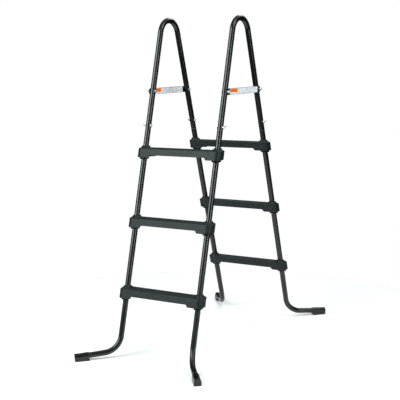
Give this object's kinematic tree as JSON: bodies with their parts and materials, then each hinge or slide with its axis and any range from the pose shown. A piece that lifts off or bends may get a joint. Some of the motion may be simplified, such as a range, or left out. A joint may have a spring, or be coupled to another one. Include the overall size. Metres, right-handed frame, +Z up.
{
  "type": "pool ladder",
  "caption": "A-frame ladder for an above-ground pool: treads on both sides, inverted-U tube handrails, splayed bent feet with caps, spreader plates with labels.",
  "frame": {"origin": "on the ground, at the middle of the ladder's footprint", "axes": "+Z up, +X across the treads to the right as seen from the front ladder, +Y from the front ladder over the pool wall to the rear ladder"},
  "size_m": [0.6788, 1.2582, 1.4923],
  "materials": {
    "frame_paint": "satin black powder coat",
    "tread_plastic": "charcoal moulded plastic with a fine grain",
    "collar_plastic": "black moulded plastic",
    "foot_rubber": "black moulded rubber",
    "plate_plastic": "black moulded plastic",
    "label_film": "printed white film with a plain orange header block",
    "zinc_plate": "bright zinc plate"
  },
  "bodies": {
    "ladder": {"handrail_left": "frame_paint", "handrail_right": "frame_paint", "leg_front_left": "frame_paint", "leg_front_right": "frame_paint", "leg_rear_left": "frame_paint", "leg_rear_right": "frame_paint", "tread_front_low": "tread_plastic", "collar_front_low_left": "collar_plastic", "collar_front_low_right": "collar_plastic", "tread_front_middle": "tread_plastic", "collar_front_middle_left": "collar_plastic", "collar_front_middle_right": "collar_plastic", "tread_front_top": "tread_plastic", "collar_front_top_left": "collar_plastic", "collar_front_top_right": "collar_plastic", "tread_rear_low": "tread_plastic", "collar_rear_low_left": "collar_plastic", "collar_rear_low_right": "collar_plastic", "tread_rear_middle": "tread_plastic", "collar_rear_middle_left": "collar_plastic", "collar_rear_middle_right": "collar_plastic", "tread_rear_top": "tread_plastic", "collar_rear_top_left": "collar_plastic", "collar_rear_top_right": "collar_plastic", "foot_cap_front_left": "foot_rubber", "foot_cap_front_right": "foot_rubber", "foot_cap_rear_left": "foot_rubber", "foot_cap_rear_right": "foot_rubber", "spreader_plate_left": "plate_plastic", "label_left": "label_film", "spreader_plate_right": "plate_plastic", "label_right": "label_film", "handle_bolt_front_left": "zinc_plate", "handle_washer_front_left": "zinc_plate", "handle_bolt_front_right": "zinc_plate", "handle_washer_front_right": "zinc_plate", "handle_bolt_rear_left": "zinc_plate", "handle_washer_rear_left": "zinc_plate", "handle_bolt_rear_right": "zinc_plate", "handle_washer_rear_right": "zinc_plate", "strap_bolt_front_left": "zinc_plate", "strap_washer_front_left": "zinc_plate", "strap_bolt_front_right": "zinc_plate", "strap_washer_front_right": "zinc_plate", "strap_bolt_rear_left": "zinc_plate", "strap_washer_rear_left": "zinc_plate", "strap_bolt_rear_right": "zinc_plate", "strap_washer_rear_right": "zinc_plate"},
    "handle_nut_front_left": {"handle_wing_nut_front_left": "zinc_plate"},
    "handle_nut_front_right": {"handle_wing_nut_front_right": "zinc_plate"},
    "handle_nut_rear_left": {"handle_wing_nut_rear_left": "zinc_plate"},
    "handle_nut_rear_right": {"handle_wing_nut_rear_right": "zinc_plate"},
    "strap_nut_front_left": {"strap_wing_nut_front_left": "zinc_plate"},
    "strap_nut_front_right": {"strap_wing_nut_front_right": "zinc_plate"},
    "strap_nut_rear_left": {"strap_wing_nut_rear_left": "zinc_plate"},
    "strap_nut_rear_right": {"strap_wing_nut_rear_right": "zinc_plate"}
  },
  "joints": [
    {"name": "handle_nut_front_left_turn", "type": "hinge", "parent": "ladder", "child": "handle_nut_front_left", "pos_m": [-0.2051, -0.18888, 1.0085], "axis": [-1, 0, 0], "continuous": true},
    {"name": "handle_nut_front_right_turn", "type": "hinge", "parent": "ladder", "child": "handle_nut_front_right", "pos_m": [0.2051, -0.18888, 1.0085], "axis": [1, 0, 0], "continuous": true},
    {"name": "handle_nut_rear_left_turn", "type": "hinge", "parent": "ladder", "child": "handle_nut_rear_left", "pos_m": [-0.2051, 0.18888, 1.0085], "axis": [-1, 0, 0], "continuous": true},
    {"name": "handle_nut_rear_right_turn", "type": "hinge", "parent": "ladder", "child": "handle_nut_rear_right", "pos_m": [0.2051, 0.18888, 1.0085], "axis": [1, 0, 0], "continuous": true},
    {"name": "strap_nut_front_left_turn", "type": "hinge", "parent": "ladder", "child": "strap_nut_front_left", "pos_m": [-0.2079, -0.1461, 1.1602], "axis": [-1, 0, 0], "continuous": true},
    {"name": "strap_nut_front_right_turn", "type": "hinge", "parent": "ladder", "child": "strap_nut_front_right", "pos_m": [0.2079, -0.1461, 1.1602], "axis": [1, 0, 0], "continuous": true},
    {"name": "strap_nut_rear_left_turn", "type": "hinge", "parent": "ladder", "child": "strap_nut_rear_left", "pos_m": [-0.2079, 0.1461, 1.1602], "axis": [-1, 0, 0], "continuous": true},
    {"name": "strap_nut_rear_right_turn", "type": "hinge", "parent": "ladder", "child": "strap_nut_rear_right", "pos_m": [0.2079, 0.1461, 1.1602], "axis": [1, 0, 0], "continuous": true}
  ]
}
